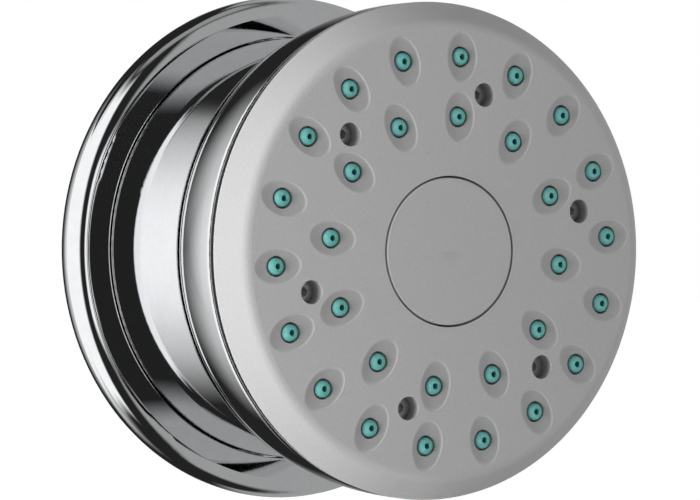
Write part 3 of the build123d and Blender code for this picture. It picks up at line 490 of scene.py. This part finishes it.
FINISHES: tuple[Finish, ...] = (
    Finish(Slot.CHROME, (0.84, 0.85, 0.86), (0.87, 0.88, 0.89), 0.02, 0.05, metallic=1.0, mark_scale=400.0,
           cloud_scale=45.0),
    # The satin face's tone carries painted shade in its dimples
    Finish(Slot.SATIN_GREY, (0.465, 0.465, 0.465), (0.535, 0.535, 0.535), 0.46, 0.54, mark_scale=5200.0,
           mark_depth=0.01 * MM, cloud_scale=40.0, specular=0.3, edge_round=0.16 * MM, painted_hollow_shade=0.14,
           hollow_soft=0.6),
    Finish(Slot.NOZZLE_SILICONE, (0.13, 0.43, 0.40), (0.19, 0.53, 0.50), 0.38, 0.52, mark_scale=1500.0,
           mark_depth=0.01 * MM, cloud_scale=300.0, specular=0.45),
    Finish(Slot.DARK_PLASTIC, (0.012, 0.012, 0.013), (0.022, 0.022, 0.023), 0.42, 0.6, mark_scale=4000.0,
           mark_depth=0.01 * MM),
    Finish(Slot.PALE_PLASTIC, (0.66, 0.66, 0.62), (0.74, 0.74, 0.70), 0.38, 0.52, mark_scale=2600.0,
           mark_depth=0.01 * MM),
    Finish(Slot.BRASS, (0.62, 0.45, 0.20), (0.78, 0.60, 0.32), 0.20, 0.34, metallic=1.0,
           pattern=Pattern.TURNED, mark_scale=4500.0, mark_depth=0.01 * MM),
    Finish(Slot.STEEL, (0.48, 0.48, 0.49), (0.60, 0.60, 0.61), 0.24, 0.38, metallic=1.0, mark_scale=3500.0,
           mark_depth=0.006 * MM),
    Finish(Slot.BLACK_RUBBER, (0.014, 0.014, 0.015), (0.028, 0.028, 0.028), 0.55, 0.75, mark_scale=3800.0,
           mark_depth=0.02 * MM, specular=0.35),
    Finish(Slot.GASKET_FOAM, (0.16, 0.16, 0.165), (0.34, 0.34, 0.345), 0.85, 0.95, mark_scale=1800.0,
           mark_depth=0.1 * MM, specular=0.2),
)


class Palette:
    """The finishes as materials, one for each slot."""

    def __init__(self) -> None:
        """Builds every finish once."""
        self.groups = ShaderGroups()
        self._materials = {finish.slot: finish.build(self.groups) for finish in FINISHES}

    def dress(self, piece: bpy.types.Object, slot: Slot) -> None:
        """Gives a piece the finish of a slot.

        Args:
            piece: A CAD node or a new mesh.
            slot: The slot whose finish it takes.
        """
        if not piece.data.materials:
            piece.data.materials.append(None)
        for place_in_mesh in piece.material_slots:
            place_in_mesh.material = self._materials[slot]
        log.info("dressed %s in %s", piece.name, slot.value)


def mesh_from_rings(name: str, rings: list[list[Point]]) -> bpy.types.Object:
    """Skins closed rings of equal length into a closed, smooth tube-like mesh.

    Args:
        name: The piece's name.
        rings: Rings of points, the last joined back to the first.

    Returns:
        The new object, linked to the scene.
    """
    count = len(rings[0])
    points = [point for ring in rings for point in ring]
    faces = []
    for row in range(len(rings)):
        after = (row + 1) % len(rings)
        for step in range(count):
            right = (step + 1) % count
            faces.append((row * count + step, row * count + right,
                          after * count + right, after * count + step))
    return mesh_piece(name, points, faces)


def mesh_piece(name: str, points: list[Point], faces: list[tuple[int, ...]]) -> bpy.types.Object:
    """Makes a mesh object with its faces turned outwards.

    Args:
        name: The piece's name.
        points: Its points in metres.
        faces: Its faces as point numbers.

    Returns:
        The new object, linked to the scene.
    """
    mesh = bpy.data.meshes.new(name)
    mesh.from_pydata(points, [], faces)
    shape = bmesh.new()
    shape.from_mesh(mesh)
    bmesh.ops.recalc_face_normals(shape, faces=shape.faces)
    shape.to_mesh(mesh)
    shape.free()
    mesh.update()
    piece = bpy.data.objects.new(name, mesh)
    bpy.context.scene.collection.objects.link(piece)
    return piece


def shade_by_angle(piece: bpy.types.Object, angle: float) -> None:
    """Shades a mesh smooth except over edges sharper than an angle.

    Args:
        piece: The object.
        angle: The angle in radians.
    """
    for polygon in piece.data.polygons:
        polygon.use_smooth = True
    piece.data.set_sharp_from_angle(angle=angle)


@dataclass
class SubAssembly:
    """What every sub-assembly needs: the frame's nodes and the finishes.

    Attributes:
        palette: The finishes.
        dressed: Node names by slot.
    """

    frame: dict[str, Any]
    palette: Palette
    dressed: dict[Slot, tuple[str, ...]] = field(default_factory=dict)

    def dress(self) -> None:
        """Puts the finishes on the CAD nodes of this sub-assembly."""
        for slot, names in self.dressed.items():
            for name in names:
                self.palette.dress(self.frame["nodes"][name], slot)


@dataclass
class WallFitting(SubAssembly):
    """The fixed side: threaded nipple, ball stud, carrier and neck.

    Distances are measured from the wall along the jet, in metres.

    Attributes:
        thread_pitch: Rise of the inlet thread in one turn.
        thread_depth: Depth of the thread.
        thread_radius: Outer radius of the thread.
        thread_chamfer: Chamfer where the thread starts.
        thread_end: Distance of the end that enters the wall elbow, behind the wall.
        thread_start: Distance where the thread runs out.
        relief_radius: Radius of the plain groove behind the hexagon.
        hexagon_half: Half the width across the hexagon's flats.
        hexagon_back: Distance of the hexagon's back.
        hexagon_front: Distance of its front.
        hexagon_slope: Slope of its turned corners.
        spigot_radius: Radius of the smooth end that carries the ball stud.
        spigot_front: Distance of that end.
        spigot_chamfer: Chamfer on it.
        strainer_bore: Radius of the bore for the strainer.
        strainer_floor: Distance of that bore's floor.
        inlet_bore: Radius of the water way.
        stud_bore: Radius of the bore for the ball stud.
        stud_floor: Distance of that bore's floor.
        rows_per_turn: Rings of points in one turn of thread.
        ring_points: Points round each ring, a multiple of 6.
        crease: Edges sharper than this angle stay sharp.
    """

    thread_pitch: float = 1.814 * MM
    thread_depth: float = 1.1 * MM
    thread_radius: float = 10.48 * MM
    thread_chamfer: float = 0.8 * MM
    thread_end: float = -11.0 * MM
    thread_start: float = 0.3 * MM
    relief_radius: float = 9.2 * MM
    hexagon_half: float = 13.5 * MM
    hexagon_back: float = 1.8 * MM
    hexagon_front: float = 6.0 * MM
    hexagon_slope: float = math.tan(math.radians(30.0))
    spigot_radius: float = 10.0 * MM
    spigot_front: float = 13.0 * MM
    spigot_chamfer: float = 0.6 * MM
    strainer_bore: float = 7.5 * MM
    strainer_floor: float = -3.5 * MM
    inlet_bore: float = 5.0 * MM
    stud_bore: float = 6.6 * MM
    stud_floor: float = 4.2 * MM
    rows_per_turn: int = 14
    ring_points: int = 168
    crease: float = math.radians(35.0)

    def hexagon(self, angle: float) -> float:
        """Radius of the hexagon at an angle, with a corner at angle 0."""
        sixth = math.pi / 3.0
        return self.hexagon_half / math.cos(angle % sixth - sixth / 2.0)

    def thread(self, angle: float, distance: float) -> float:
        """Radius of the thread.

        Args:
            angle: Angle round the axis in radians.
            distance: Distance from the wall.

        Returns:
            The radius there, rounded at crest and root, with the start chamfered.
        """
        phase = 2.0 * math.pi * distance / self.thread_pitch + angle
        radius = self.thread_radius - self.thread_depth * (0.5 - 0.5 * math.cos(phase))
        chamfered = self.thread_radius - self.thread_chamfer + (distance - self.thread_end)
        return min(radius, chamfered)

    def build_nipple(self) -> None:
        """Cuts the inlet nipple with a real thread and turned hexagon corners."""
        plain = Callable[[float], float]
        rows: list[tuple[plain, plain]] = []

        def add(radius: float | plain, distance: float | plain) -> None:
            """Adds one ring of the profile, each value fixed or by angle."""
            rows.append((radius if callable(radius) else lambda _: radius,
                         distance if callable(distance) else lambda _: distance))

        def corner(angle: float) -> float:
            """How far the turned corner falls away at an angle."""
            return (self.hexagon(angle) - self.hexagon_half) * self.hexagon_slope

        add(self.stud_bore, self.spigot_front)
        add(self.spigot_radius - self.spigot_chamfer, self.spigot_front)
        add(self.spigot_radius, self.spigot_front - self.spigot_chamfer)
        add(self.spigot_radius, self.hexagon_front)
        add(self.hexagon_half, self.hexagon_front)
        add(self.hexagon, lambda angle: self.hexagon_front - corner(angle))
        add(self.hexagon, lambda angle: self.hexagon_back + corner(angle))
        add(self.hexagon_half, self.hexagon_back)
        add(self.relief_radius, self.hexagon_back)
        add(self.relief_radius, self.thread_start)
        count = round((self.thread_start - self.thread_end) / self.thread_pitch * self.rows_per_turn)
        for row in range(count + 1):
            distance = self.thread_start + (self.thread_end - self.thread_start) * row / count
            add(lambda angle, at=distance: self.thread(angle, at), distance)
        add(self.strainer_bore, self.thread_end)
        add(self.strainer_bore, self.strainer_floor)
        add(self.inlet_bore, self.strainer_floor)
        add(self.inlet_bore, self.stud_floor)
        add(self.stud_bore, self.stud_floor)
        angles = [2.0 * math.pi * step / self.ring_points for step in range(self.ring_points)]
        rings = [[(radius(a) * math.cos(a), -distance(a), radius(a) * math.sin(a)) for a in angles]
                 for radius, distance in rows]
        nipple = mesh_from_rings("threaded_nipple", rings)
        shade_by_angle(nipple, self.crease)
        self.palette.dress(nipple, Slot.BRASS)
        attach(nipple, Body.WALL_FITTING.value)
        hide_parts("inlet_nipple")

    def build(self) -> None:
        """Cuts the nipple and dresses the nodes of the fixed side."""
        self.build_nipple()
        self.dressed = {
            Slot.CHROME: ("neck_sleeve",),
            Slot.BRASS: ("ball_stud", "lock_nut"),
            Slot.PALE_PLASTIC: ("inlet_strainer", "flow_regulator", "sleeve_carrier"),
            Slot.BLACK_RUBBER: ("inlet_seal", "stud_seal", "sleeve_ring"),
        }
        self.dress()


@dataclass
class WallRing(SubAssembly):
    """The sliding ring that covers the hole in the wall."""

    def build(self) -> None:
        """Dresses the ring, its grip and its gasket."""
        self.dressed = {
            Slot.CHROME: ("escutcheon",),
            Slot.BLACK_RUBBER: ("escutcheon_grip",),
            Slot.GASKET_FOAM: ("wall_gasket",),
        }
        self.dress()


@dataclass
class BallJoint(SubAssembly):
    """The slip ring and the seal that ride on the ball."""

    def build(self) -> None:
        """Dresses the joint's two rings."""
        self.dressed = {Slot.PALE_PLASTIC: ("slip_ring",), Slot.BLACK_RUBBER: ("ball_seal",)}
        self.dress()


@dataclass
class SprayHead(SubAssembly):
    """The swivelling head: shell, chamber, face and nozzles.

    Attributes:
        spring_seat: Distance from the wall of the floor that the return spring stands on; not used.
        spring_room: Height from that floor to the button's underside; not used.
        press: The button's travel; not used.
        wire: Radius of the spring's wire.
        turns: Turns of the spring.
        end_slack: How much flatter the spring's end turns lie, from 0 to 1.
        steps_per_turn: Rings of points in one turn.
        wire_points: Points round the wire.
        crease: Edges sharper than this angle stay sharp.
    """

    spring_seat: float = 46.5 * MM
    spring_room: float = 5.5 * MM
    press: float = 2.4 * MM
    wire: float = 0.3 * MM
    turns: float = 4.5
    end_slack: float = 0.6
    steps_per_turn: int = 36
    wire_points: int = 10
    crease: float = math.radians(50.0)

    def build_spring(self) -> None:
        """Winds the return spring with flat end turns."""
        low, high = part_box("return_spring")
        radius = (high.x - low.x) / 2.0 - self.wire
        back, front = high.y - self.wire, low.y + self.wire
        steps = round(self.turns * self.steps_per_turn)
        points: list[Point] = []
        for step in range(steps + 1):
            share = step / steps
            eased = share - self.end_slack * math.sin(2.0 * math.pi * share) / (2.0 * math.pi)
            angle = 2.0 * math.pi * self.turns * share
            middle = back + (front - back) * eased
            for turn in range(self.wire_points):
                round_wire = 2.0 * math.pi * turn / self.wire_points
                reach = radius + self.wire * math.cos(round_wire)
                points.append((reach * math.cos(angle), middle + self.wire * math.sin(round_wire),
                               reach * math.sin(angle)))
        count = self.wire_points
        first_end, last_end = range(count), range(steps * count, (steps + 1) * count)
        faces: list[tuple[int, ...]] = [tuple(first_end), tuple(last_end)]
        for step in range(steps):
            for turn in range(count):
                after = (turn + 1) % count
                faces.append((step * count + turn, step * count + after,
                              (step + 1) * count + after, (step + 1) * count + turn))
        spring = mesh_piece("return_coil", points, faces)
        shade_by_angle(spring, self.crease)
        self.palette.dress(spring, Slot.STEEL)
        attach(spring, Body.SPRAY_HEAD.value)
        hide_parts("return_spring")
        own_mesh(spring)

    def build(self) -> None:
        """Winds the spring and dresses the head."""
        self.build_spring()
        self.dressed = {
            Slot.CHROME: ("head_shell",),
            Slot.SATIN_GREY: ("spray_face",),
            Slot.NOZZLE_SILICONE: ("nozzle_mat",),
            Slot.DARK_PLASTIC: ("chamber_plate",),
            Slot.PALE_PLASTIC: ("valve_guide",),
            Slot.BRASS: ("socket_nut", "ball_socket"),
            Slot.STEEL: ("face_screws", "latch_pin"),
            Slot.BLACK_RUBBER: ("socket_gasket", "guide_ring"),
        }
        self.dress()


@dataclass
class StopButton(SubAssembly):
    """The middle button with its valve stem."""

    def build(self) -> None:
        """Dresses the button and its valve."""
        self.dressed = {
            Slot.SATIN_GREY: ("stop_button",),
            Slot.BRASS: ("valve_stem",),
            Slot.BLACK_RUBBER: ("stem_ring", "valve_washer"),
            Slot.STEEL: ("washer_screw",),
        }
        self.dress()


@dataclass(frozen=True)
class Softbox:
    """A panel of the studio, given by its direction from the object.

    Attributes:
        turn: Degrees round from the object's left towards its front.
        half_width: Half its width in degrees.
        rise: Its middle's height in degrees.
        half_height: Half its height in degrees.
        feather: Half the width of its soft edge in degrees.
        level: Its brightness.
    """

    turn: float
    half_width: float
    rise: float
    half_height: float
    feather: float
    level: float

    def mask(self, tree: Tree, groups: ShaderGroups) -> Socket:
        """Places the panel in the world's tree.

        Args:
            tree: The world's tree.
            groups: The shared node groups.

        Returns:
            The socket that is 1 where the panel stands.
        """
        box = groups.use(
            tree, groups.softbox(), Turn=-math.radians(self.turn), Half_Width=math.radians(self.half_width),
            Rise=math.radians(self.rise), Half_Height=math.radians(self.half_height),
            Feather=math.radians(self.feather))
        return box.outputs["Mask"]


@dataclass(frozen=True)
class Lamp:
    """A soft light; the polished parts mirror the panels instead of it.

    Attributes:
        name: Its name.
        turn: Degrees round from the object's left towards its front.
        rise: Its height in degrees.
        spread: Its angular size in degrees, which softens its shadows.
        level: Its strength.
    """

    name: str
    turn: float
    rise: float
    spread: float
    level: float

    def build(self) -> None:
        """Hangs the light."""
        turn, rise = math.radians(self.turn), math.radians(self.rise)
        towards = Vector((-math.cos(turn) * math.cos(rise), -math.sin(turn) * math.cos(rise),
                          math.sin(rise)))
        data = bpy.data.lights.new(self.name, "SUN")
        data.energy = self.level
        data.angle = math.radians(self.spread)
        lamp = bpy.data.objects.new(self.name, data)
        lamp.rotation_mode = "QUATERNION"
        lamp.rotation_quaternion = towards.to_track_quat("Z", "Y")
        lamp.visible_glossy = False
        bpy.context.scene.collection.objects.link(lamp)


@dataclass
class Studio:
    """The camera, the pale floor and the soft light.

    Attributes:
        target: A point on the spray face's axis that the camera frames.
        azimuth: The camera's angle round the object in degrees.
        elevation: The camera's height in degrees.
        distance: From the target to the camera.
        aside: How far the target lies right of the picture's middle.
        below: How far it lies below the middle.
        lens: Focal length in millimetres.
        sensor: Sensor width in millimetres.
        floor_height: The floor's height.
        floor_half: Half the floor's width.
        floor_tones: The two tones of the floor's paper.
        floor_grain: The paper's grains per metre.
        floor_fill: The floor's own light for the camera, which makes its unshadowed part white.
        gloom: Light from where no panel stands.
        lamps: The soft lights that the satin and rubber parts show.
        panels: The panels that the polished parts mirror.
        flags: Dark cards that cut the panels off.
    """

    groups: ShaderGroups
    target: Point = (0.0, -0.0523, 0.0)
    azimuth: float = -31.64
    elevation: float = 0.86
    distance: float = 1.657
    aside: float = 0.01492
    below: float = 0.00021
    lens: float = 533.0
    sensor: float = 36.0
    floor_height: float = -0.046
    floor_half: float = 1.5
    floor_tones: tuple[Colour, Colour] = ((0.86, 0.86, 0.86), (0.88, 0.88, 0.88))
    floor_grain: float = 900.0
    floor_fill: float = 0.7
    gloom: float = 0.018
    lamps: tuple[Lamp, ...] = (
        Lamp("key_light", 6.0, -6.0, 30.0, 3.5),
        Lamp("fill_light", 135.0, -7.0, 50.0, 0.85),
    )
    panels: tuple[Softbox, ...] = (
        Softbox(4.0, 39.0, 0.0, 58.0, 7.0, 1.05),
        Softbox(-26.0, 46.0, 0.0, 48.0, 17.0, 1.05),
        Softbox(-42.0, 35.5, 26.0, 26.0, 20.0, 0.85),
        Softbox(-42.0, 35.5, -26.0, 26.0, 20.0, 0.85),
        Softbox(84.0, 9.0, 0.0, 16.0, 4.0, 1.0),
        Softbox(168.0, 74.0, 0.0, 62.0, 8.0, 0.36),
        Softbox(100.0, 120.0, 82.0, 15.0, 6.0, 0.3),
    )
    flags: tuple[Softbox, ...] = (
        Softbox(-84.0, 34.0, 50.5, 20.0, 1.0, 0.0),
    )

    def build(self) -> None:
        """Sets up camera, floor and light."""
        self.build_camera()
        self.build_floor()
        for lamp in self.lamps:
            lamp.build()
        self.build_world()
        bpy.context.scene.view_settings.view_transform = "Standard"

    def build_camera(self) -> None:
        """Stands the camera where the photograph was taken from."""
        turn, rise = math.radians(self.azimuth), math.radians(self.elevation)
        back = Vector((math.sin(turn) * math.cos(rise), -math.cos(turn) * math.cos(rise), math.sin(rise)))
        right = Vector((math.cos(turn), math.sin(turn), 0.0))
        up = right.cross(-back)
        data = bpy.data.cameras.new("photo_camera")
        data.lens, data.sensor_width = self.lens, self.sensor
        data.clip_start, data.clip_end = 0.01, 20.0
        camera = bpy.data.objects.new("photo_camera", data)
        camera.location = Vector(self.target) + back * self.distance - right * self.aside + up * self.below
        camera.rotation_mode = "QUATERNION"
        camera.rotation_quaternion = (-back).to_track_quat("-Z", "Y")
        bpy.context.scene.collection.objects.link(camera)
        bpy.context.scene.camera = camera

    def build_floor(self) -> None:
        """Lays a pale floor that goes white towards the camera and keeps the object's shadow."""
        half, level = self.floor_half, self.floor_height
        mesh = bpy.data.meshes.new("studio_floor")
        corners = [(-half, -half, level), (half, -half, level), (half, half, level), (-half, half, level)]
        mesh.from_pydata(corners, [], [(0, 1, 2, 3)])
        floor = bpy.data.objects.new("studio_floor", mesh)
        # The chrome doesn't mirror the floor, and the floor doesn't cut off the low lamps
        floor.visible_glossy = False
        floor.visible_shadow = False
        bpy.context.scene.collection.objects.link(floor)
        material = bpy.data.materials.new("floor_paper")
        material.use_nodes = True
        tree = material.node_tree
        tree.nodes.clear()
        out = place(tree, "ShaderNodeOutputMaterial", (900, 0))
        paper = place(tree, "ShaderNodeBsdfPrincipled")
        paper.inputs["Roughness"].default_value = 0.9
        paper.inputs["Specular IOR Level"].default_value = 0.1
        paper.inputs["Emission Color"].default_value = (1.0, 1.0, 1.0, 1.0)
        grain = self.groups.use(tree, self.groups.fine_grain(), Scale=self.floor_grain)
        tree.links.new(mix_colour(tree, grain.outputs["Mask"], *self.floor_tones),
                       paper.inputs["Base Color"])
        path = place(tree, "ShaderNodeLightPath")
        tree.links.new(math_node(tree, "MULTIPLY", path.outputs["Is Camera Ray"], self.floor_fill),
                       paper.inputs["Emission Strength"])
        clear = place(tree, "ShaderNodeBsdfTransparent")
        sides = place(tree, "ShaderNodeMixShader")
        geometry = place(tree, "ShaderNodeNewGeometry")
        tree.links.new(geometry.outputs["Backfacing"], sides.inputs[0])
        tree.links.new(paper.outputs[0], sides.inputs[1])
        tree.links.new(clear.outputs[0], sides.inputs[2])
        tree.links.new(sides.outputs[0], out.inputs["Surface"])
        mesh.materials.append(material)

    def build_world(self) -> None:
        """Surrounds the object with soft panels; the camera sees plain white behind it."""
        world = bpy.data.worlds.new("studio")
        bpy.context.scene.world = world
        world.use_nodes = True
        tree = world.node_tree
        tree.nodes.clear()
        out = place(tree, "ShaderNodeOutputWorld", (900, 0))
        light: Any = self.gloom
        for panel in self.panels:
            glow = math_node(tree, "MULTIPLY", panel.mask(tree, self.groups), panel.level)
            light = math_node(tree, "MAXIMUM", glow, light)
        for flag in self.flags:
            left = math_node(tree, "SUBTRACT", 1.0, flag.mask(tree, self.groups))
            light = math_node(tree, "MAXIMUM", math_node(tree, "MULTIPLY", light, left), self.gloom)
        studio = place(tree, "ShaderNodeBackground")
        tree.links.new(light, studio.inputs["Strength"])
        studio.inputs["Color"].default_value = (1.0, 1.0, 1.0, 1.0)
        white = place(tree, "ShaderNodeBackground")
        white.inputs["Color"].default_value = (1.0, 1.0, 1.0, 1.0)
        path = place(tree, "ShaderNodeLightPath")
        seen = math_node(tree, "MAXIMUM", path.outputs["Is Camera Ray"], path.outputs["Is Transmission Ray"])
        switch = place(tree, "ShaderNodeMixShader")
        tree.links.new(seen, switch.inputs[0])
        tree.links.new(studio.outputs[0], switch.inputs[1])
        tree.links.new(white.outputs[0], switch.inputs[2])
        tree.links.new(switch.outputs[0], out.inputs["Surface"])


def main() -> None:
    logging.basicConfig(level=logging.INFO, format="%(name)s: %(message)s")
    for leftover in list(bpy.data.objects):
        bpy.data.objects.remove(leftover, do_unlink=True)
    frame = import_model()
    palette = Palette()
    for kind in (WallFitting, WallRing, BallJoint, SprayHead, StopButton):
        kind(frame, palette).build()
        log.info("built %s", kind.__name__)
    Studio(palette.groups).build()


if __name__ == "__main__":
    main()
